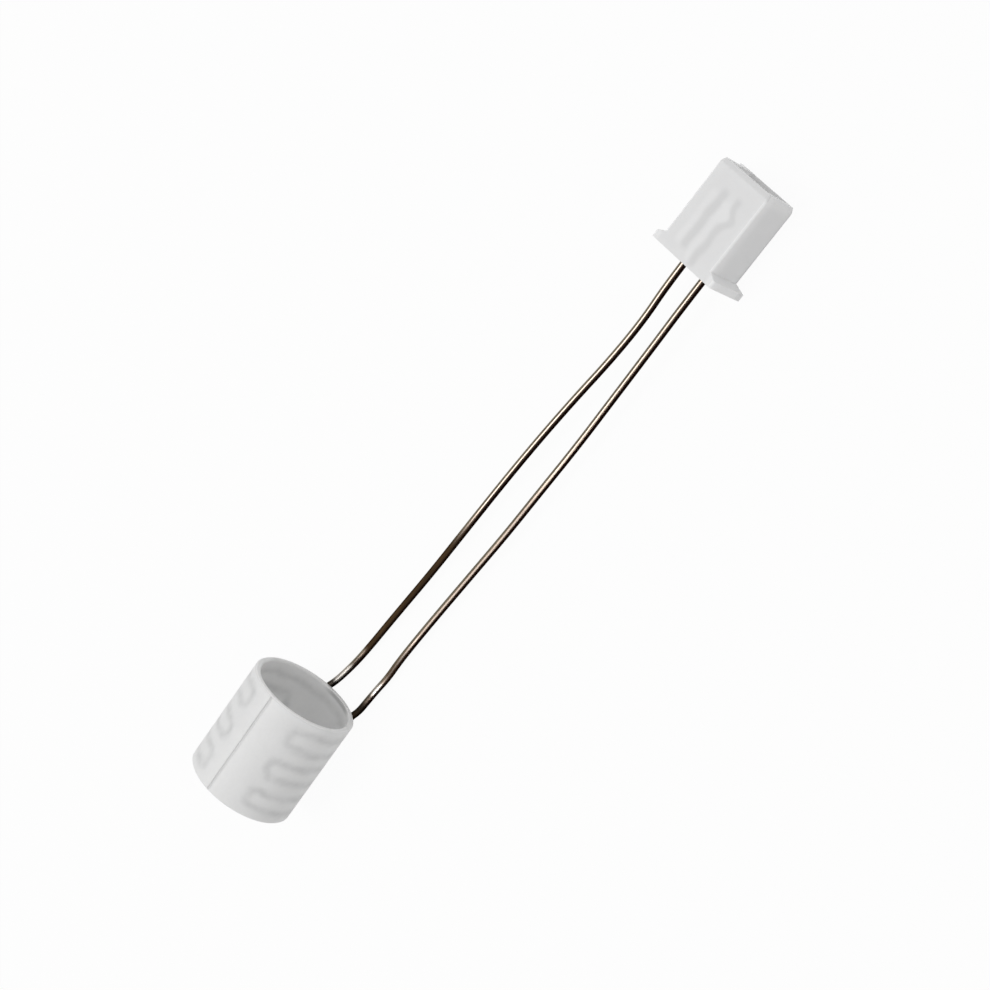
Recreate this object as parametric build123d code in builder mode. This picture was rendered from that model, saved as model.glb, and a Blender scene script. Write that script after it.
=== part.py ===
"""Small ceramic heating tube with two brazed wire leads and a two-way crimp plug, in millimetres.

The tube lies along X with its mouth towards +X. It rests on the two braze mounds under it, and
the plug at the far end of the leads rests on its back. The origin is under the middle of the
tube, on the surface that everything stands on. Angles round the tube are in degrees, counted
from straight below it towards +Y.
"""

import os
from math import asin, atan2, cos, degrees, pi, radians, sin, sqrt, tan

from build123d import *

os.makedirs("parts", exist_ok=True)

# Ceramic tube
tube_diameter = 10.25
tube_wall = 0.55
tube_length = 10.8
rim_chamfer = 0.12
seam_turn = 8.6
seam_width = 0.26
seam_depth = 0.11

# Heating track, printed on the core and covered by the wrapped skin
skin_thickness = 0.22
track_thickness = 0.07
track_width = 0.55
track_arms = 6
track_from_end = 1.15
track_corner = 0.25
bare_band_left = 15.6
bare_band_right = 32.4
low_turn_angle = 42.0
via_diameter = 0.6
via_margin = 0.15
land_margin = 0.1

# Terminal pads, braze and leads
lead_diameter = 0.65
lead_spacing = 4.0
pad_thickness = 0.05
pad_width = 1.85
pad_length = 2.7
pad_from_mouth = 1.0
braze_cover = 0.065
braze_foot = 1.7
braze_lip = 0.05
braze_margin = 0.15
braze_round = 0.5
braze_hollow = 0.08
crown_lean = 8.0
lead_tail = 2.1

# Plug housing
contact_pitch = 2.5
plug_x = 56.0
plug_y = -5.12
plug_turn = -2.58
body_length = 8.65
body_depth = 4.45
side_wall = 0.8
back_wall = 1.2
end_wall = 0.6
edge_round = 0.25
mating_taper = 0.45
mating_inset = 0.15
flange_reach = 0.8
flange_back = 0.7
flange_thickness = 0.65
flange_slope = 0.4
flange_corner = 0.3
rib_width = 0.5
rib_spacing = 4.1
key_width = 0.45
key_reach = 0.75
mouth_recess = 0.35
mouth_side_land = 0.75
mouth_land = 0.5
pin_hole = 1.0
pin_hole_lead_in = 0.2
window_clearance = 0.15

# Crimp contacts
strip_thickness = 0.2
contact_width = 1.6
contact_height = 2.0
contact_clearance = 0.1
box_length = 3.2
barrel_length = 1.2
barrel_gap = 0.3
barrel_seam = 0.12
barrel_start = 0.45
neck_width = 0.9
lance_from_end = 0.6
lance_length = 1.7
lance_drop = 0.55
lance_width = 0.6
spring_inset = 0.35
spring_sag = 0.45
spring_width = 0.8
lead_run_in = 2.3

# How alike two lengths are when they count as the same
same_length = 0.0005

# Sizes that follow
tube_radius = tube_diameter / 2
bore_radius = tube_radius - tube_wall
lead_radius = lead_diameter / 2
pad_radius = tube_radius + pad_thickness
lead_circle = pad_radius + lead_radius
lead_angle = degrees(asin(lead_spacing / 2 / lead_circle))
braze_radius = lead_radius + braze_cover
axis_height = lead_circle * cos(radians(lead_angle)) + braze_radius
lead_height = braze_radius
track_outer = tube_radius - skin_thickness
track_radius = track_outer - track_thickness / 2
track_first = tube_length / 2 - track_from_end
track_pitch = 2 * track_first / (track_arms - 1)
turn_step = degrees(track_width / track_radius)
seam_angle = 180 + seam_turn
high_turn_left = seam_angle - bare_band_left
high_turn_right = 360 - seam_angle - bare_band_right
pad_end = tube_length / 2 - pad_from_mouth
pad_start = pad_end - pad_length
via_radius = via_diameter / 2
via_x = pad_end - via_margin - via_radius
land_radius = via_radius + land_margin
land_half_angle = degrees(land_radius / track_radius)
body_width = contact_pitch + contact_width + 2 * (contact_clearance + side_wall)
front_height = flange_back + body_depth
cavity_floor = flange_back + back_wall
cavity_width = contact_width + 2 * contact_clearance
cavity_height = contact_height + 2 * contact_clearance
contact_floor = cavity_floor + contact_clearance
wire_height = contact_floor + strip_thickness + lead_radius
box_end = body_length - mouth_recess - end_wall - contact_clearance
box_start = box_end - box_length
wire_end = barrel_start + 2 * barrel_length + barrel_gap
lance_root = box_end - lance_from_end
lance_tip = lance_root - lance_length
hole_mouth = body_length - mouth_recess
pin_height = contact_floor + contact_height / 2
tube_axis = Axis((0, 0, axis_height), (1, 0, 0))
plug_place = Location((plug_x, plug_y, 0), (0, 0, plug_turn))


def around(angle):
    """Plane through the tube's axis: x along the tube, y straight out from the axis at this angle."""
    turn = radians(angle)
    return Plane(origin=(0, 0, axis_height), x_dir=(1, 0, 0), z_dir=(0, cos(turn), sin(turn)))


def across(x, angle):
    """Plane square to the tube at x, with its y straight out from the axis at this angle."""
    turn = radians(angle)
    return Plane(origin=(x, 0, axis_height), x_dir=(0, -cos(turn), -sin(turn)), z_dir=(1, 0, 0))


def in_plug(x, y, z):
    """A point given in the plug's own frame, placed in the part's frame."""
    return tuple((plug_place * Pos(x, y, z)).position)


def across_plug(x):
    """Plane square to the plug, x from its wire end: local x to its left, local y up."""
    turn = radians(plug_turn)
    return Plane(origin=in_plug(x, 0, 0), x_dir=(-sin(turn), cos(turn), 0), z_dir=(cos(turn), sin(turn), 0))


def ring_piece(x_from, x_to, radius_from, radius_to, angle_from, angle_to):
    """Piece of a ring round the tube's axis, added to the part being built."""
    with BuildSketch(around(angle_from)) as section:
        with Locations(((x_from + x_to) / 2, (radius_from + radius_to) / 2)):
            Rectangle(x_to - x_from, radius_to - radius_from)
    revolve(section.sketch, axis=tube_axis, revolution_arc=angle_to - angle_from)


def track_piece(x_from, x_to, angle_from, angle_to):
    """One straight stretch of the printed track."""
    ring_piece(x_from, x_to, track_outer - track_thickness, track_outer, angle_from, angle_to)


def track_half(side, high_turn_angle):
    """Half of the track: arms from the lead's side up to the seam and back, joined by turns."""
    half = track_width / 2
    places = [track_first - arm * track_pitch for arm in range(track_arms)]
    for arm, x in enumerate(places):
        low = low_turn_angle
        if arm == 0:
            low = lead_angle
        if arm == track_arms - 1:
            low = 0
        track_piece(x - half, x + half, side * low, side * high_turn_angle)
        if arm == track_arms - 1:
            break
        edge = high_turn_angle - turn_step if arm % 2 == 0 else low_turn_angle
        track_piece(places[arm + 1] - half, x + half, side * edge, side * (edge + turn_step))


def on_outside_of_turn(edge):
    """True for the track's short edges that stand on the outer corners of its turns."""
    place = edge.center()
    angle = degrees(atan2(abs(place.Y), axis_height - place.Z))
    nearest = min(abs(angle - corner) for corner in (low_turn_angle, high_turn_left, high_turn_right))
    return edge.length < 1.01 * track_thickness and nearest < turn_step / 2


def outward(angle, x, radius):
    """Plane that faces straight out from the tube's axis at this angle."""
    turn = radians(angle)
    place = (x, radius * sin(turn), axis_height - radius * cos(turn))
    return Plane(origin=place, x_dir=(1, 0, 0), z_dir=(0, sin(turn), -cos(turn)))


# The track runs from the lead on one side, across under the tube's far end, to the other lead
with BuildPart() as heating_track:
    track_half(1, high_turn_left)
    track_half(-1, high_turn_right)
    chamfer(heating_track.edges().filter_by(on_outside_of_turn), track_corner)
    for side in (-1, 1):
        land_from = side * (lead_angle - land_half_angle)
        land_to = side * (lead_angle + land_half_angle)
        land_start = min(via_x, track_first) - land_radius
        land_end = max(via_x, track_first) + land_radius
        track_piece(land_start, land_end, land_from, land_to)
        with BuildSketch(outward(side * lead_angle, via_x, track_radius)):
            Circle(via_radius)
        extrude(amount=tube_diameter)
    with BuildSketch(Plane.YZ.offset(-tube_length)):
        with Locations((0, axis_height)):
            Circle(tube_radius)
    extrude(amount=2 * tube_length, mode=Mode.INTERSECT)
heating_track.part.label = "heating_track"

# One co-fired tube: the seam is where the wrapped skin's edges meet, and the track lies inside the wall
with BuildPart() as ceramic_tube:
    with BuildSketch(Plane.YZ.offset(-tube_length / 2)):
        with Locations((0, axis_height)):
            Circle(tube_radius)
            Circle(bore_radius, mode=Mode.SUBTRACT)
    extrude(amount=tube_length)
    rims = ceramic_tube.edges().filter_by(GeomType.CIRCLE)
    chamfer(rims, rim_chamfer)
    with BuildSketch(across(-tube_length / 2, seam_angle)):
        with Locations((0, tube_radius - seam_depth + seam_width / 2)):
            Circle(seam_width / 2)
            with Locations((0, seam_width / 2)):
                Rectangle(seam_width, seam_width)
    extrude(amount=tube_length, mode=Mode.SUBTRACT)
    add(heating_track.part, mode=Mode.SUBTRACT)
ceramic_tube.part.label = "ceramic_tube"

# Routes of the two leads, tail first, from the tube to inside the crimps
tail_x = pad_end - lead_tail + braze_margin
lead_1_points = [
    (tail_x, lead_spacing / 2, lead_height),
    (5.05, lead_spacing / 2, lead_height),
    (6.4, 1.39, 0.36),
    (9.2, 0.78, 0.5),
    (20.2, -0.42, 0.93),
    (30.6, -1.31, 1.4),
    (43.1, -2.95, 1.98),
    in_plug(-lead_run_in, contact_pitch / 2, wire_height),
    in_plug(wire_end, contact_pitch / 2, wire_height),
]
lead_2_points = [
    (tail_x, -lead_spacing / 2, lead_height),
    (5.1, -lead_spacing / 2, lead_height),
    (6.5, -2.5, 0.43),
    (10.6, -2.95, 0.61),
    (14.6, -3.13, 0.78),
    (27.8, -4.6, 1.34),
    (38.5, -5.48, 1.79),
    in_plug(-lead_run_in, -contact_pitch / 2, wire_height),
    in_plug(wire_end, -contact_pitch / 2, wire_height),
]


def along_plug(y):
    """Plane along the plug at y: local x towards its mating end, local y up."""
    turn = radians(plug_turn)
    return Plane(origin=in_plug(0, y, 0), x_dir=(cos(turn), sin(turn), 0), z_dir=(sin(turn), -cos(turn), 0))


def lead(points):
    """Round wire along straight runs joined by arcs as large as the runs allow."""
    places = [Vector(*point) for point in points]
    runs = [after - before for before, after in zip(places, places[1:])]
    radii = []
    for before, after in zip(runs, runs[1:]):
        turn = before.get_angle(after)
        shorter = min(before.length, after.length)
        radii.append(0.45 * shorter / tan(radians(turn / 2)))
    print("bend radii", [round(radius, 1) for radius in radii])
    with BuildPart() as wire:
        with BuildLine() as route:
            FilletPolyline(*places, radius=radii)
        with BuildSketch(Plane(origin=places[0], z_dir=runs[0])):
            Circle(lead_radius)
        sweep(path=route.wires()[0])
    length = route.wires()[0].length
    print("length", round(length, 2), "volume", round(wire.part.volume, 3),
          "section by length", round(pi * lead_radius**2 * length, 3))
    return wire.part


lead_wire_1 = lead(lead_1_points)
lead_wire_2 = lead(lead_2_points)
lead_wire_1.label = "lead_wire_1"
lead_wire_2.label = "lead_wire_2"


def terminal_pad(side):
    """Thin metal pad fired onto the outside of the tube, over the via."""
    half_angle = degrees(pad_width / 2 / tube_radius)
    middle = side * lead_angle
    with BuildPart() as pad:
        ring_piece(pad_start, pad_end, tube_radius, pad_radius, middle - half_angle, middle + half_angle)
    return pad.part


def braze(side):
    """Mound of braze on a pad: it runs up both sides of the wire and just covers its end."""
    start = pad_start + braze_margin
    length = pad_length - 2 * braze_margin
    foot = braze_foot / 2
    foot_height = sqrt((pad_radius + braze_lip) ** 2 - foot**2)
    crown = braze_radius * cos(radians(crown_lean))
    crown_height = lead_circle + braze_radius * sin(radians(crown_lean))
    with BuildPart() as mound:
        with BuildSketch(across(start, side * lead_angle)):
            with BuildLine():
                crest = (0, lead_circle + braze_radius)
                ThreePointArc((crown, crown_height), crest, (-crown, crown_height))
                SagittaArc((-crown, crown_height), (-foot, foot_height), braze_hollow)
                Polyline((-foot, foot_height), (-foot, bore_radius), (foot, bore_radius), (foot, foot_height))
                SagittaArc((foot, foot_height), (crown, crown_height), braze_hollow)
            make_face()
        extrude(amount=length)
        with BuildSketch(around(side * lead_angle)) as outline:
            with Locations((start + length / 2, lead_circle + braze_radius)):
                Rectangle(length, tube_radius, align=(Align.CENTER, Align.MAX))
            fillet(outline.vertices().group_by(Axis.Y)[-1], braze_round)
        extrude(amount=tube_diameter, both=True, mode=Mode.INTERSECT)
        with BuildSketch(Plane.YZ):
            with Locations((0, axis_height)):
                Circle(pad_radius)
        extrude(amount=tube_length, mode=Mode.SUBTRACT)
        with BuildSketch(across(tail_x, side * lead_angle)):
            with Locations((0, lead_circle)):
                Circle(lead_radius)
        extrude(amount=tube_length, mode=Mode.SUBTRACT)
    return mound.part


terminal_pad_1 = terminal_pad(1)
terminal_pad_2 = terminal_pad(-1)
braze_1 = braze(1)
braze_2 = braze(-1)
terminal_pad_1.label = "terminal_pad_1"
terminal_pad_2.label = "terminal_pad_2"
braze_1.label = "braze_1"
braze_2.label = "braze_2"


def plug_block(x_from, x_to, y_middle, width, z_from, z_to, mode=Mode.ADD):
    """Block in the plug's own frame, added to or cut from the part being built."""
    with BuildSketch(across_plug(x_from)) as section:
        with Locations((y_middle, (z_from + z_to) / 2)):
            Rectangle(width, z_to - z_from)
    extrude(section.sketch, amount=x_to - x_from, mode=mode)


# Plug housing: a moulded body with a flared flange at the wire end and guide ribs behind
flange_width = body_width + 2 * flange_reach
with BuildPart() as plug_housing:
    body_middle = flange_back + body_depth / 2
    with BuildSketch(across_plug(0)):
        with Locations((0, body_middle)):
            RectangleRounded(body_width, body_depth, edge_round)
    extrude(amount=body_length - mating_taper)
    for x, inset in ((body_length - mating_taper, 0), (body_length, mating_inset)):
        with BuildSketch(across_plug(x)):
            with Locations((0, body_middle)):
                RectangleRounded(body_width - 2 * inset, body_depth - 2 * inset, edge_round)
    loft()
    with BuildSketch(across_plug(0)):
        with Locations((0, front_height / 2)):
            RectangleRounded(flange_width, front_height, flange_corner)
    extrude(amount=flange_thickness)
    with BuildSketch(across_plug(flange_thickness)):
        with Locations((0, front_height / 2)):
            RectangleRounded(flange_width, front_height, flange_corner)
    with BuildSketch(across_plug(flange_thickness + flange_slope)):
        with Locations((0, (front_height + flange_back) / 2)):
            RectangleRounded(body_width, body_depth, flange_corner)
    loft()
    for y in (-rib_spacing / 2, rib_spacing / 2):
        plug_block(flange_thickness, body_length - mating_taper, y, rib_width, 0, flange_back)
    key_z = flange_back
    plug_block(flange_thickness, body_length, body_width / 2, 2 * key_reach, key_z, key_z + key_width)
    recess_width = body_width - 2 * mouth_side_land
    plug_block(body_length - mouth_recess, body_length + mouth_recess, 0, recess_width,
               flange_back + mouth_land, front_height - mouth_land, Mode.SUBTRACT)
    for y in (-contact_pitch / 2, contact_pitch / 2):
        plug_block(0, box_end + contact_clearance, y, cavity_width,
                   cavity_floor, cavity_floor + cavity_height, Mode.SUBTRACT)
        plug_block(box_end, body_length, y, pin_hole, pin_height - pin_hole / 2, pin_height + pin_hole / 2,
                   Mode.SUBTRACT)
        wide_hole = pin_hole + 2 * pin_hole_lead_in
        for x, width in ((hole_mouth, wide_hole), (hole_mouth - pin_hole_lead_in, pin_hole)):
            with BuildSketch(across_plug(x)):
                with Locations((y, pin_height)):
                    Rectangle(width, width)
        loft(mode=Mode.SUBTRACT)
        plug_block(lance_tip - window_clearance, lance_root + window_clearance, y,
                   lance_width + 2 * window_clearance, 0, cavity_floor, Mode.SUBTRACT)
plug_housing.part.label = "plug_housing"


def crimp_contact(y):
    """Rolled strip contact: open box for the pin, neck, and two barrels closed on the wire."""
    top = contact_floor + contact_height
    inside_floor = contact_floor + strip_thickness
    inside_top = top - strip_thickness
    barrel_radius = lead_radius + strip_thickness
    with BuildPart() as contact:
        plug_block(box_start, box_end, y, contact_width, contact_floor, top)
        bends = contact.edges().filter_by(lambda edge: abs(edge.length / box_length - 1) < same_length)
        fillet(bends, strip_thickness)
        plug_block(box_start, box_end, y, contact_width - 2 * strip_thickness, inside_floor, inside_top,
                   Mode.SUBTRACT)
        plug_block(lance_tip, lance_root - strip_thickness, y, lance_width, contact_floor, inside_floor,
                   Mode.SUBTRACT)
        with BuildSketch(along_plug(y)):
            tip_floor = contact_floor - lance_drop
            Polygon((lance_root, inside_floor), (lance_root, contact_floor),
                    (lance_tip, tip_floor), (lance_tip, tip_floor + strip_thickness), align=None)
        extrude(amount=lance_width / 2, both=True)
        with BuildSketch(along_plug(y)):
            spring_root = top - strip_thickness / 2
            spring_from = (box_start + spring_inset, spring_root)
            spring_to = (box_end - spring_inset, spring_root)
            with BuildLine():
                SagittaArc(spring_from, spring_to, -spring_sag)
                SagittaArc(spring_to, spring_from, spring_sag - strip_thickness)
            make_face()
        extrude(amount=spring_width / 2, both=True)
        plug_block(barrel_start, box_start, y, neck_width, contact_floor, inside_floor)
        for start in (barrel_start, barrel_start + barrel_length + barrel_gap):
            with BuildSketch(across_plug(start)):
                with Locations((y, wire_height)):
                    Circle(barrel_radius)
                    with Locations((0, -barrel_radius / 2)):
                        Rectangle(2 * barrel_radius, barrel_radius)
                    Circle(lead_radius, mode=Mode.SUBTRACT)
                    with Locations((0, barrel_radius)):
                        Rectangle(barrel_seam, barrel_radius, mode=Mode.SUBTRACT)
            extrude(amount=barrel_length)
    return contact.part


crimp_contact_1 = crimp_contact(contact_pitch / 2)
crimp_contact_2 = crimp_contact(-contact_pitch / 2)
crimp_contact_1.label = "crimp_contact_1"
crimp_contact_2.label = "crimp_contact_2"

export_step(ceramic_tube.part, "parts/ceramic_tube.step")
export_step(heating_track.part, "parts/heating_track.step")
export_step(terminal_pad_1, "parts/terminal_pad_1.step")
export_step(terminal_pad_2, "parts/terminal_pad_2.step")
export_step(braze_1, "parts/braze_1.step")
export_step(braze_2, "parts/braze_2.step")
export_step(lead_wire_1, "parts/lead_wire_1.step")
export_step(lead_wire_2, "parts/lead_wire_2.step")
export_step(crimp_contact_1, "parts/crimp_contact_1.step")
export_step(crimp_contact_2, "parts/crimp_contact_2.step")
export_step(plug_housing.part, "parts/plug_housing.step")
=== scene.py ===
"""Looks of the ceramic heating tube: its materials, the two leads, the studio and the camera, in metres."""

import math

import bpy
from mathutils import Matrix, Vector


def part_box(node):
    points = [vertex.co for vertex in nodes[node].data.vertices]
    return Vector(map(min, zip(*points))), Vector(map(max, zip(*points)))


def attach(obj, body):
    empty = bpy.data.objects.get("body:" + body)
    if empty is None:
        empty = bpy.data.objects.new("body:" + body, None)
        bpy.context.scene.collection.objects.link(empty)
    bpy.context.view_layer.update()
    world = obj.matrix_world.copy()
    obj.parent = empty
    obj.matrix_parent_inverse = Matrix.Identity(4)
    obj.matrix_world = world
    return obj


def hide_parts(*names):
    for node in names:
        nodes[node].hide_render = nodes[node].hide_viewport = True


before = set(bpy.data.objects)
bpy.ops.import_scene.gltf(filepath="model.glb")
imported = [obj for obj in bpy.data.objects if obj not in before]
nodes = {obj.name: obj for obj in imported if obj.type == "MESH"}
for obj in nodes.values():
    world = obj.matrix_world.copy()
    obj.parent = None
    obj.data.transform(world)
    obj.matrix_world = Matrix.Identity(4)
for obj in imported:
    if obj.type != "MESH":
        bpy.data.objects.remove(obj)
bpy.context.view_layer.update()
MM = 0.001

# Sizes that the looks share with the solids
tube_low, tube_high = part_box("ceramic_tube")
tube_radius = (tube_high.y - tube_low.y) / 2
axis_height = (tube_high.z + tube_low.z) / 2
mouth_x = tube_high.x
bore_radius = tube_radius - 0.55 * MM
seam_turn = math.radians(8.6)
lead_diameter = 0.65 * MM
plug_place = Vector((56.0, -5.12, 0)) * MM
plug_turn = math.radians(-2.58)
plug_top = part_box("plug_housing")[1].z


# Shader graphs


class Graph:
    """A node tree with short calls for the nodes that it is made of."""

    def __init__(self, owner):
        owner.use_nodes = True
        self.owner = owner
        self.tree = owner.node_tree
        self.tree.nodes.clear()

    def set(self, socket, value):
        """Links another node's socket, or writes a constant; a colour is given as three numbers."""
        if isinstance(value, bpy.types.NodeSocket):
            self.tree.links.new(value, socket)
        elif socket.type == "RGBA":
            socket.default_value = (*value, 1)
        else:
            socket.default_value = value

    def node(self, kind, settings=None, **inputs):
        """Makes a node: settings are its own properties, inputs are its sockets by name."""
        made = self.tree.nodes.new(kind)
        for key, value in (settings or {}).items():
            setattr(made, key, value)
        for key, value in inputs.items():
            self.set(made.inputs[key.replace("_", " ")], value)
        return made

    def math(self, operation, *values):
        made = self.node("ShaderNodeMath", {"operation": operation})
        for socket, value in zip(made.inputs, values):
            self.set(socket, value)
        return made.outputs[0]

    def vector_math(self, operation, a, b):
        made = self.node("ShaderNodeVectorMath", {"operation": operation})
        self.set(made.inputs[0], a)
        self.set(made.inputs[1], b)
        return made

    def add(self, a, b):
        return self.math("ADD", a, b)

    def sub(self, a, b):
        return self.math("SUBTRACT", a, b)

    def mul(self, a, b):
        return self.math("MULTIPLY", a, b)

    def highest(self, a, b):
        return self.math("MAXIMUM", a, b)

    def away(self, value, middle):
        """How far a value lies from a middle one."""
        return self.math("ABSOLUTE", self.sub(value, middle))

    def dot(self, a, b):
        return self.vector_math("DOT_PRODUCT", a, b).outputs["Value"]

    def fade(self, value, full, none):
        """1 where the value is at full, 0 where it is at none, smooth between."""
        low, high = sorted((full, none))
        at_low, at_high = (1, 0) if full < none else (0, 1)
        made = self.node("ShaderNodeMapRange", {"interpolation_type": "SMOOTHSTEP"}, Value=value,
                         From_Min=low, From_Max=high, To_Min=at_low, To_Max=at_high)
        return made.outputs[0]

    def between(self, value, low, high, soft_low, soft_high):
        """1 from low to high, smooth to 0 across each of the two."""
        rising = self.fade(value, low + soft_low, low - soft_low)
        falling = self.fade(value, high - soft_high, high + soft_high)
        return self.mul(rising, falling)

    def place(self):
        """The point on the surface in the part's frame, in metres, and its x, y and z."""
        at = self.node("ShaderNodeTexCoord").outputs["Object"]
        split = self.node("ShaderNodeSeparateXYZ", Vector=at)
        return at, split.outputs["X"], split.outputs["Y"], split.outputs["Z"]

    def normal(self):
        """Which way the surface faces, before any bump."""
        return self.node("ShaderNodeNewGeometry").outputs["Normal"]

    def noise(self, at, scale, detail=2.0, stretch=(1, 1, 1)):
        """Noise from 0 to 1, about 0.5 on average."""
        spread = self.vector_math("MULTIPLY", at, stretch).outputs[0]
        return self.node("ShaderNodeTexNoise", Vector=spread, Scale=scale, Detail=detail).outputs["Fac"]

    def sway(self, at, scale, amount, detail=2.0):
        """Noise around 0, half the amount to either side."""
        return self.mul(self.sub(self.noise(at, scale, detail), 0.5), amount)

    def shade(self, colour, factor):
        """A colour times a factor from the graph."""
        made = self.node("ShaderNodeVectorMath", {"operation": "SCALE"}, Scale=factor)
        self.set(made.inputs[0], colour)
        return made.outputs[0]

    def blend(self, factor, a, b):
        """Colour a where the factor is 0 and b where it is 1."""
        made = self.node("ShaderNodeMix", {"data_type": "RGBA"}, Factor=factor, A=a, B=b)
        return made.outputs["Result"]

    def bump(self, height, distance, strength):
        return self.node("ShaderNodeBump", Height=height, Distance=distance, Strength=strength).outputs[0]

    def surface(self, shader):
        """Ends a material's graph with a shader."""
        self.node("ShaderNodeOutputMaterial", Surface=shader.outputs[0])
        return self.owner

    def principled(self, **inputs):
        return self.surface(self.node("ShaderNodeBsdfPrincipled", **inputs))


def material_graph(name):
    return Graph(bpy.data.materials.new(name))


# Alumina, with the heating track just showing through it

alumina_white = (0.843, 0.843, 0.84)
track_first = 4.25 * MM
track_pitch = 1.7 * MM
track_arms = 6
shadow_width = 0.66 * MM
shadow_blur = 0.36 * MM
shadow_sway = 0.8 * MM
bare_left = math.radians(15.6)
bare_right = math.radians(32.4)
track_low = math.radians(42)

# Tones: how much lighter or darker than the plain ceramic each thing is
shadow_tone = 0.12
mottle_tone = 0.08
fleck_tone = 0.045
grain_tone = 0.02
# painted shade in the seam's groove
seam_shade_tone = 0.1
mouth_line_tone = 0.38
# painted light and shade on the rim's end face
rim_light_tone = 0.06
rim_top_light_tone = 0.16
rim_near_light_tone = 0.08
rim_far_shade_tone = 0.07


def track_shadow(g, at, angle, x, y):
    """1 over the serpentine track in the wall, 0 beside it, with edges as soft as the skin makes them."""
    left = g.math("GREATER_THAN", y, 0)
    end_left = math.pi + seam_turn - bare_left
    end_right = math.pi - seam_turn - bare_right
    end = g.add(end_right, g.mul(left, end_left - end_right))
    sway_x = g.sway(at, 620, shadow_sway)
    sway_turn = g.sway(at, 830, shadow_sway)
    half_pitch = track_pitch / 2
    arm = g.math("DIVIDE", g.add(g.sub(track_first, x), sway_x), track_pitch)

    def turned(shift, past):
        """Distance from a run of arms joined in pairs by round turns that end where past reaches zero."""
        from_middle = g.sub(g.math("MODULO", g.add(arm, shift), 2.0), 1.0)
        from_middle = g.mul(from_middle, track_pitch)
        past = g.highest(g.add(past, half_pitch + shadow_width / 2), 0.0)
        reach = g.math("SQRT", g.add(g.mul(from_middle, from_middle), g.mul(past, past)))
        return g.away(reach, half_pitch)

    past_high = g.add(g.mul(g.sub(angle, end), tube_radius), sway_turn)
    past_low = g.add(g.mul(g.sub(track_low, angle), tube_radius), sway_turn)
    inner = g.mul(g.math("GREATER_THAN", arm, 0.5), g.math("LESS_THAN", arm, track_arms - 1.5))
    past_low = g.sub(g.mul(g.add(past_low, tube_radius), inner), tube_radius)
    high = turned(2.5, past_high)
    low = turned(3.5, past_low)
    upper = g.math("GREATER_THAN", angle, (math.pi + track_low) / 2 - bare_left)
    nearest = g.add(g.mul(high, upper), g.mul(low, g.sub(1.0, upper)))
    return g.fade(nearest, shadow_width / 2 - shadow_blur, shadow_width / 2 + shadow_blur)


def seam_groove_shade(g, angle, radius, y):
    """Painted shade: 1 along the seam's groove on the outside, where the ceramic is drawn darker."""
    from_seam = g.mul(g.away(angle, math.pi - seam_turn), tube_radius)
    line = g.mul(g.fade(from_seam, 0.08 * MM, 0.26 * MM), g.math("LESS_THAN", y, 0))
    return g.mul(line, g.fade(radius, tube_radius - 0.2 * MM, tube_radius - 0.4 * MM))


def mouth_line(g, radius, up, x, y):
    """1 along the short dark line low in the bore, just inside the mouth."""
    low_in_bore = g.fade(up, -0.8 * tube_radius, -0.6 * tube_radius)
    line = g.mul(g.fade(radius, bore_radius + 0.03 * MM, bore_radius + 0.08 * MM), low_in_bore)
    line = g.mul(line, g.fade(x, mouth_x - 0.28 * MM, mouth_x - 0.5 * MM))
    return g.mul(line, g.fade(g.away(y, -0.5 * MM), 0.9 * MM, 2.3 * MM))


def painted_rim_light(g, up, x, y):
    """Painted light on the rim's end face: lighter all round and most at the top, and below the axis
    lighter on the near side and darker on the far side.
    """
    on_rim = g.fade(x, mouth_x - 0.02 * MM, mouth_x - 0.14 * MM)
    below = g.fade(up, 0, 0.25 * tube_radius)
    far_side = g.fade(y, 0.5 * tube_radius, 0.2 * tube_radius)
    near_side = g.fade(y, -0.5 * tube_radius, -0.2 * tube_radius)
    light = g.add(rim_light_tone, g.mul(g.fade(up, 0.8 * tube_radius, 0), rim_top_light_tone))
    sides = g.sub(g.mul(near_side, rim_near_light_tone), g.mul(far_side, rim_far_shade_tone))
    return g.mul(on_rim, g.add(light, g.mul(below, sides)))


def alumina():
    """Fired white ceramic: mottled very faintly, a fine grain, the grey shadow of the track, painted shade
    in the seam's groove, painted light on the rim's end face, and a short dark line inside the mouth.
    """
    g = material_graph("alumina")
    at, x, y, z = g.place()
    up = g.sub(z, axis_height)
    angle = g.math("ARCTAN2", g.math("ABSOLUTE", y), g.mul(up, -1.0))
    radius = g.math("SQRT", g.add(g.mul(y, y), g.mul(up, up)))
    patchy = g.noise(at, 900, detail=3)
    track = g.mul(track_shadow(g, at, angle, x, y), g.sub(g.mul(patchy, 2.4), 0.2))
    mottle = g.sway(at, 420, mottle_tone, detail=4)
    fleck = g.sway(at, 3200, fleck_tone)
    grain = g.noise(at, 14000)
    tone = g.add(g.sub(1.0, g.mul(track, shadow_tone)), g.add(mottle, fleck))
    tone = g.add(tone, g.mul(g.sub(grain, 0.5), grain_tone))
    # painted shade along the seam's groove
    tone = g.sub(tone, g.mul(seam_groove_shade(g, angle, radius, y), seam_shade_tone))
    # painted light on the rim's end face
    tone = g.add(tone, painted_rim_light(g, up, x, y))
    tone = g.sub(tone, g.mul(mouth_line(g, radius, up, x, y), mouth_line_tone))
    return g.principled(
        Base_Color=g.shade(alumina_white, tone), Roughness=g.add(0.5, g.mul(mottle, 1.5)), IOR=1.6,
        Normal=g.bump(g.add(grain, g.mul(patchy, 0.6)), 0.004 * MM, 0.5),
        Subsurface_Weight=0.35, Subsurface_Radius=(1.0, 0.98, 0.95), Subsurface_Scale=0.5 * MM)


# Nylon of the plug, in the plug's own frame and in millimetres along and across

nylon_white = (0.848, 0.848, 0.85)
dip_place = 5.0
dip_width = 0.65
dip_depth = 0.6
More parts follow.
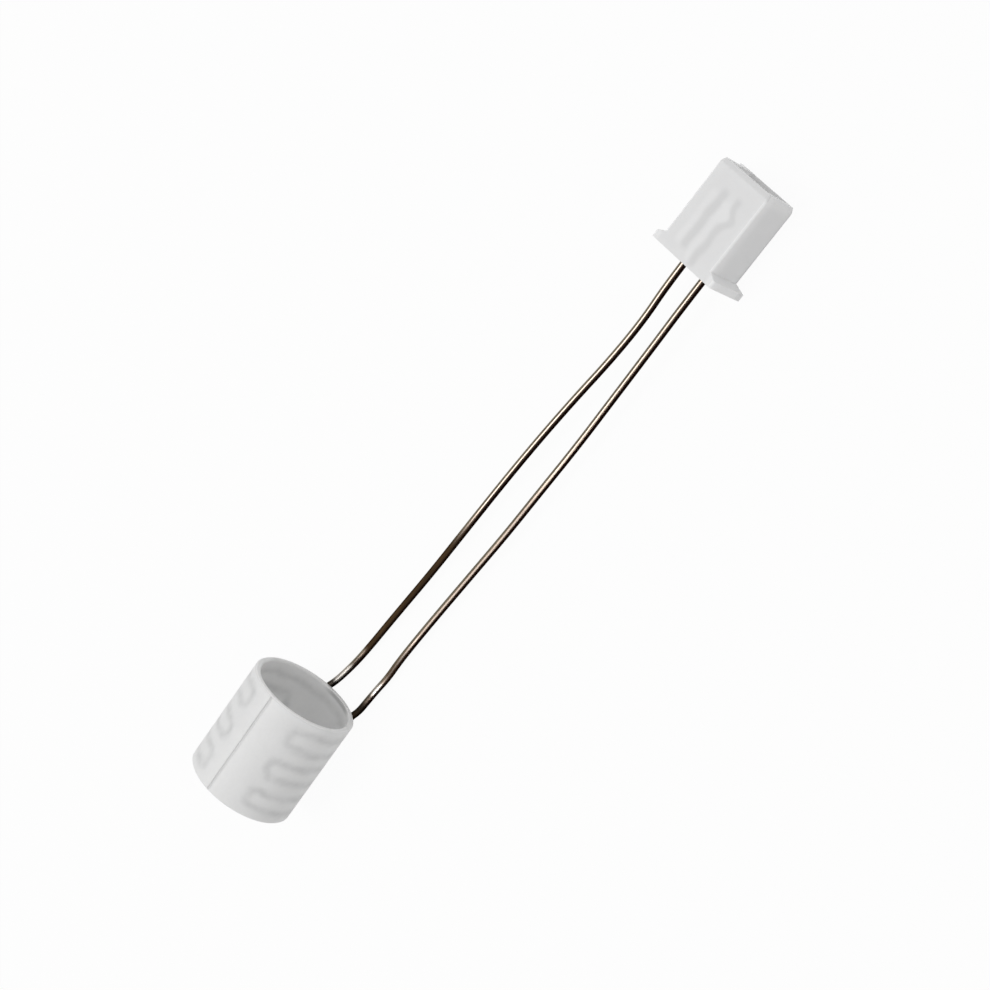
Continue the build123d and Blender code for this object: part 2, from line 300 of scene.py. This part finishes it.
# painted shade of the contacts showing through the front, and painted light on the ridges between them
contact_shade_tone = 0.1
ridge_light_tone = 0.05
cloud_tone = 0.04
# painted highlight along the rounded long edges
edge_highlight_tone = 0.22
# painted light and shade on the sides, the foot, the wire end, the taper and the end face
side_light_tone = 0.04
side_upper_light_tone = 0.16
side_foot_shade_tone = 0.15
foot_light_tone = 0.06
wire_end_light_tone = 0.06
# painted highlight on the ears
ear_highlight_tone = 0.08
taper_shade_tone = 0.05
end_light_tone = 0.02


def plug_frame(g, x, y):
    """How far a point lies along and across the plug."""
    from_x = g.sub(x, plug_place.x)
    from_y = g.sub(y, plug_place.y)
    turn_cos, turn_sin = math.cos(plug_turn), math.sin(plug_turn)
    along = g.add(g.mul(from_x, turn_cos), g.mul(from_y, turn_sin))
    across = g.sub(g.mul(from_y, turn_cos), g.mul(from_x, turn_sin))
    return g.mul(along, 1 / MM), g.mul(across, 1 / MM)


def front_contact_shade_and_light(g, along, across):
    """Painted shade and light on the front: dark bands where the contacts inside show through the milky
    wall, less the lighter ridges between them.
    """
    from_dip = g.mul(g.sub(along, dip_place), 1 / dip_width)
    dip = g.mul(g.math("EXPONENT", g.mul(g.mul(from_dip, from_dip), -1.0)), -dip_depth)

    def patches(*bounds, soft=0.35):
        """1 on each patch, given by its middle and half width across and its two ends along."""
        seen = 0.0
        for middle, half, start, end in bounds:
            over = g.fade(g.away(across, middle), half - soft / 2, half + soft)
            seen = g.highest(seen, g.mul(over, g.between(along, start, end, soft, soft)))
        return seen

    dark = patches((0.65, 0.3, 1.0, 6.7), (g.sub(dip, 0.97), 0.24, 0.2, 6.8))
    light = patches((-0.25, 0.2, 0.4, 6.1), (1.5, 0.22, 1.0, 6.2), (g.mul(dip, 1.1), 0.35, 4.2, 6.0))
    return g.sub(g.mul(light, ridge_light_tone), g.mul(dark, contact_shade_tone))


def nylon():
    """Milky moulded nylon, with painted shade where the contacts inside show on the front as soft darker
    bands, and painted light and shade on its edges, sides, ears and ends.
    """
    g = material_graph("nylon")
    at, x, y, z = g.place()
    along, across = plug_frame(g, x, y)
    across = g.add(across, g.sway(at, 500, 0.5, detail=1))
    normal = g.normal()
    facing_up = g.node("ShaderNodeSeparateXYZ", Vector=normal).outputs["Z"]
    on_end = g.fade(g.dot(normal, (math.cos(plug_turn), math.sin(plug_turn), 0)), 0.9, 0.6)
    on_front = g.mul(g.fade(facing_up, 0.95, 0.6), g.fade(z, plug_top - 0.3 * MM, plug_top - 0.6 * MM))
    # the sides and the end face, which get painted light
    on_side = g.sub(g.fade(facing_up, 0.1, 0.3), on_end)
    # painted highlight on the slanting rounded long edges
    slanting = g.mul(g.fade(facing_up, 0.35, 0.1), g.fade(facing_up, 0.93, 0.995))
    highlight_edge = g.mul(slanting, g.fade(along, 7.8, 8.2))
    # painted light on the sides: most near the front, less near the bottom, more at the foot's end and at
    # the wire end
    from_front = g.fade(z, plug_top, plug_top - 1.4 * MM)
    foot_end = g.mul(g.fade(along, 8.3, 7.4), g.fade(z, 0.3 * MM, 0.2 * MM))
    side = g.add(g.add(side_light_tone, g.mul(from_front, side_upper_light_tone)), g.mul(foot_end, foot_light_tone))
    side = g.sub(side, g.mul(g.fade(z, 0.95 * MM, 1.15 * MM), side_foot_shade_tone))
    side = g.add(side, g.mul(g.fade(along, 0.7, 1.1), wire_end_light_tone))
    # the ears, which get a painted highlight
    ears = g.fade(g.math("ABSOLUTE", across), 3.3, 2.9)
    # the taper at the mating end, which gets painted shade
    taper = g.mul(g.fade(along, 8.4, 8.0), g.fade(facing_up, 0.7, 0.4))
    # painted shade of the contacts and painted light on the ridges, on the front only
    tone = g.add(1.0, g.mul(on_front, front_contact_shade_and_light(g, along, across)))
    # painted highlight along the long edges
    tone = g.add(tone, g.mul(highlight_edge, edge_highlight_tone))
    # painted light on the sides
    tone = g.add(tone, g.mul(on_side, side))
    # painted highlight on the ears, painted shade on the taper at the mating end
    tone = g.add(tone, g.sub(g.mul(ears, ear_highlight_tone), g.mul(taper, taper_shade_tone)))
    # painted light on the end face
    tone = g.add(tone, g.mul(on_end, end_light_tone))
    tone = g.add(tone, g.sway(at, 600, cloud_tone, detail=3))
    skin = g.noise(at, 5200)
    return g.principled(
        Base_Color=g.shade(nylon_white, tone), Roughness=g.add(0.36, g.mul(skin, 0.12)), IOR=1.53,
        Normal=g.bump(skin, 0.004 * MM, 0.5),
        Subsurface_Weight=0.45, Subsurface_Radius=(1.0, 0.98, 0.96), Subsurface_Scale=0.6 * MM)


# Metals

# the side that the painted reflection lights; the opposite side gets painted shade
lit_side_direction = (0, 0.837, 0.548)
wire_light = (0.045, 0.034, 0.026)
wire_dark = (0.033, 0.024, 0.017)
# painted shade underneath, painted reflection along the upper edge
wire_underside_shade = (0.006, 0.002, 0.0012)
wire_reflection_edge = (0.17, 0.155, 0.11)
# colours of the dull runs, darker and browner
dull_dark = (0.005, 0.0034, 0.0019)
dull_brown = (0.016, 0.0094, 0.0045)
# painted reflection: a light spot on the upper side of each lead near the tube
reflection_spot_colour = (0.5, 0.465, 0.43)
# darker where the lead leaves the tube
near_tube_dark = (0.002, 0.0015, 0.001)
near_tube_fade = (6.4 * MM, 7.8 * MM)


def lead_metal(name, dull_runs, reflection_run):
    """Dark drawn wire, glossy, with painted shade underneath and a painted reflection along its upper edge,
    die lines, darker dull runs, a darker stretch where it leaves the tube, and a spot of painted reflection
    near the tube.
    """
    g = material_graph(name)
    at, x, _, _ = g.place()
    lines = g.noise(at, 9000, stretch=(0.05, 1, 1))
    stain = g.noise(at, 260, detail=3)
    lean = g.add(g.dot(g.normal(), lit_side_direction), g.mul(g.sub(stain, 0.5), 0.2))
    # painted shade on the underside and painted reflection along the upper edge
    underside_shade = g.fade(lean, -0.45, 0.1)
    above = g.sub(1.0, underside_shade)
    base = g.blend(underside_shade, g.blend(stain, wire_light, wire_dark), wire_underside_shade)
    base = g.blend(g.fade(lean, 0.85, 0.55), base, wire_reflection_edge)
    dull = 0.0
    for start, end, soft, amount in dull_runs:
        run = g.between(x, start * MM, end * MM, 0.8 * MM, soft * MM)
        dull = g.highest(dull, g.mul(run, amount))
    # the dull runs are darker, rougher and have no coat
    streak = g.mul(g.noise(at, 2600, stretch=(0.12, 1, 1)), stain)
    dull_colour = g.blend(g.mul(streak, 2.5), dull_dark, dull_brown)
    base = g.blend(g.mul(dull, g.sub(1.0, g.mul(underside_shade, 0.6))), base, dull_colour)
    # darker where the lead leaves the tube
    base = g.blend(g.mul(g.fade(x, *near_tube_fade), 0.85), base, near_tube_dark)
    # painted reflection: a light spot on the upper side near the tube
    reflection_from, reflection_to = reflection_run
    reflection_spot = g.mul(g.between(x, reflection_from * MM, reflection_to * MM, 0.4 * MM, 0.5 * MM), above)
    reflection_spot = g.mul(reflection_spot, g.add(0.55, g.mul(stain, 0.6)))
    base = g.blend(g.mul(reflection_spot, 0.6), base, reflection_spot_colour)
    # the coat is left off the underside so that its painted shade stays dark
    return g.principled(
        Base_Color=base, Metallic=1.0, Roughness=g.add(g.add(0.2, g.mul(lines, 0.1)), g.mul(dull, 0.5)),
        Specular_Tint=(0.4, 0.34, 0.27), Normal=g.bump(lines, 0.002 * MM, 0.4),
        Coat_Weight=g.mul(g.mul(g.sub(1.0, dull), above), 0.3), Coat_Roughness=0.2)


def plain_metal(name, light, dark, roughness, grain, lift):
    """Bright metal with a mottled tone and a surface as rough as its grain."""
    g = material_graph(name)
    flow = g.noise(g.place()[0], grain, detail=4)
    rough = g.add(roughness, g.mul(g.sub(flow, 0.5), 0.2))
    return g.principled(Base_Color=g.blend(flow, dark, light), Metallic=1.0, Roughness=rough,
                        Normal=g.bump(flow, lift, 0.6))


ceramic = alumina()
plastic = nylon()
braze = plain_metal("braze_metal", (0.82, 0.8, 0.74), (0.6, 0.58, 0.53), 0.24, 1800, 0.01 * MM)
plated = plain_metal("pad_metal", (0.78, 0.72, 0.6), (0.58, 0.53, 0.45), 0.38, 3000, 0.004 * MM)
tinplate = plain_metal("contact_metal", (0.78, 0.77, 0.73), (0.62, 0.61, 0.58), 0.3, 2200, 0.003 * MM)
track_ink = plain_metal("track_metal", (0.2, 0.19, 0.18), (0.12, 0.11, 0.1), 0.6, 4000, 0.006 * MM)
finishes = {
    "ceramic_tube": ceramic,
    "heating_track": track_ink,
    "terminal_pad_1": plated,
    "terminal_pad_2": plated,
    "braze_1": braze,
    "braze_2": braze,
    "crimp_contact_1": tinplate,
    "crimp_contact_2": tinplate,
    "plug_housing": plastic,
}
for name, finish in finishes.items():
    for slot in nodes[name].material_slots:
        slot.material = finish


# Leads, along the same points as their solids


def in_plug(x, y, z):
    """A point given in the plug's own frame, in millimetres, placed in the part's frame."""
    return plug_place / MM + Matrix.Rotation(plug_turn, 3, "Z") @ Vector((x, y, z))


lead_1_points = [
    (2.45, 2.0, 0.39),
    (3.8, 2.0, 0.39),
    (4.9, 1.98, 0.39),
    (5.9, 1.57, 0.37),
    (7.2, 1.19, 0.46),
    (8.9, 0.82, 0.54),
    (10.8, 0.55, 0.62),
    (14.8, 0.15, 0.78),
    (20.2, -0.47, 1.01),
    (25.4, -0.9, 1.23),
    (30.6, -1.33, 1.45),
    (35.7, -1.86, 1.67),
    (40.7, -2.53, 1.88),
    (45.5, -3.32, 2.08),
    (49.9, -3.77, 2.27),
    in_plug(-2.3, 1.25, 2.525),
    in_plug(3.15, 1.25, 2.525),
]
lead_2_points = [
    (2.45, -2.0, 0.39),
    (3.8, -2.0, 0.39),
    (4.8, -2.05, 0.39),
    (5.8, -2.42, 0.41),
    (7.2, -2.55, 0.47),
    (8.6, -2.7, 0.52),
    (10.2, -2.94, 0.59),
    (12.4, -2.96, 0.69),
    (17.3, -3.42, 0.89),
    (22.6, -4.02, 1.12),
    (27.8, -4.61, 1.34),
    (32.9, -5.02, 1.55),
    (37.9, -5.45, 1.76),
    (42.7, -5.7, 1.97),
    (48.7, -6.0, 2.22),
    in_plug(-2.3, -1.25, 2.525),
    in_plug(3.15, -1.25, 2.525),
]

# Dull runs of the leads, in millimetres along the tube's axis: start, end, softness of the end, amount
lead_1_dull = [(0, 5.2, 0.8, 0.9), (10.2, 26.0, 3.0, 1)]
lead_2_dull = [(0, 7.0, 0.8, 0.9), (9.9, 13.5, 2.5, 0.8), (15, 33, 3.0, 0.3)]


def lead(name, points, finish):
    """One lead: a smooth round wire from the braze to inside its crimp."""
    curve = bpy.data.curves.new(name, "CURVE")
    curve.dimensions = "3D"
    curve.bevel_depth = lead_diameter / 2
    curve.bevel_resolution = 8
    curve.resolution_u = 16
    curve.use_fill_caps = True
    spline = curve.splines.new("NURBS")
    spline.points.add(len(points) - 1)
    for spot, place in zip(spline.points, points):
        spot.co = (*(Vector(place) * MM), 1)
    spline.order_u = 3
    spline.use_endpoint_u = True
    curve.materials.append(finish)
    piece = bpy.data.objects.new(name, curve)
    bpy.context.collection.objects.link(piece)
    side = name[-1]
    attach(piece, "root")
    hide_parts("lead_wire_" + side)
    return piece


# the last pair of numbers is where the painted reflection spot lies, in millimetres along the tube's axis
lead_1 = lead("lead_1", lead_1_points, lead_metal("lead_1_metal", lead_1_dull, (6.2, 8.3)))
lead_2 = lead("lead_2", lead_2_points, lead_metal("lead_2_metal", lead_2_dull, (8.0, 9.2)))


# Studio: a white floor in white air, a soft lamp above, and strips that only the leads mirror

floor_size = 3.0
floor_seen = 0.95
floor_matt = (0.8, 0.8, 0.8)
air_strength = 0.575
softbox_strength = 3.35
strip_strength = 34
white = (1, 1, 1)


def seen_directly(g):
    """1 for rays from the camera, and for what metal and glass mirror or let through."""
    path = g.node("ShaderNodeLightPath")
    return g.highest(path.outputs["Is Camera Ray"],
                     g.highest(path.outputs["Is Glossy Ray"], path.outputs["Is Transmission Ray"]))


def floor():
    """A matt floor that takes shadows and is otherwise seen as nearly plain white."""
    g = material_graph("floor")
    matt = g.node("ShaderNodeBsdfDiffuse", Color=floor_matt)
    glow = g.node("ShaderNodeEmission", Color=white, Strength=1.0)
    mixed = g.node("ShaderNodeMixShader", Fac=g.mul(seen_directly(g), floor_seen))
    g.set(mixed.inputs[1], matt.outputs[0])
    g.set(mixed.inputs[2], glow.outputs[0])
    bpy.ops.mesh.primitive_plane_add(size=floor_size, location=(0, 0, 0))
    plane = bpy.context.object
    plane.name = "floor"
    plane.data.materials.append(g.surface(mixed))


def air():
    """Even white air: it lights at its strength and is seen as plain white."""
    g = Graph(bpy.data.worlds.new("air"))
    strength = g.node("ShaderNodeMapRange", Value=seen_directly(g), To_Min=air_strength, To_Max=1.0)
    background = g.node("ShaderNodeBackground", Color=white, Strength=strength.outputs[0])
    g.node("ShaderNodeOutputWorld", Surface=background.outputs[0])
    bpy.context.scene.world = g.owner


def area_lamp(name, place, target, size, brightness):
    """A rectangular lamp of an even brightness, seen from its front as that many times white."""
    data = bpy.data.lights.new(name, "AREA")
    data.shape = "RECTANGLE"
    data.size, data.size_y = size
    data.energy = brightness * math.pi * size[0] * size[1]
    lamp = bpy.data.objects.new(name, data)
    bpy.context.collection.objects.link(lamp)
    lamp.location = place
    lamp.rotation_euler = (Vector(place) - Vector(target)).to_track_quat("Z", "Y").to_euler()
    return lamp


def strip(name, place, size, piece):
    """A bright lamp facing down, mirrored by one lead as a streak along it and falling on nothing else."""
    lamp = area_lamp(name, place, (place[0], place[1], 0), size, strip_strength)
    lamp.visible_diffuse = False
    lit = bpy.data.collections.new("lit_by_" + name)
    lit.objects.link(piece)
    lamp.light_linking.receiver_collection = lit
    lamp.light_linking.blocker_collection = lit


floor()
air()
area_lamp("softbox", (-0.08, 0.06, 0.45), (0.025, -0.002, 0), (0.24, 0.24), softbox_strength)
strip("strip_1", (-0.035, 0.02, 0.2), (0.23, 0.12), lead_1)
strip("strip_2", (-0.09, -0.07, 0.2), (0.08, 0.2), lead_2)
strip("strip_3", (-0.005, 0.016, 0.2), (0.09, 0.12), lead_2)


# Camera: the photograph's view, a hand's breadth above the part and turned a quarter round

view_azimuth = math.radians(26.599)
view_elevation = math.radians(54.449)
view_roll = math.radians(76.5)
view_distance = 179.53 * MM
view_target = Vector((27.512, 2.928, -5.33)) * MM
sensor_width_mm = 36
focal_length_mm = 71.73
clip_near = 0.01
clip_far = 10


def camera():
    data = bpy.data.cameras.new("camera")
    data.sensor_width = sensor_width_mm
    data.lens = focal_length_mm
    data.clip_start = clip_near
    data.clip_end = clip_far
    eye = bpy.data.objects.new("camera", data)
    bpy.context.collection.objects.link(eye)
    turned = (Matrix.Rotation(view_azimuth, 4, "Z") @ Matrix.Rotation(math.pi / 2 - view_elevation, 4, "X")
              @ Matrix.Rotation(-view_roll, 4, "Z"))
    eye.matrix_world = Matrix.Translation(view_target) @ turned @ Matrix.Translation((0, 0, view_distance))
    bpy.context.scene.camera = eye


camera()
bpy.context.scene.view_settings.view_transform = "Standard"
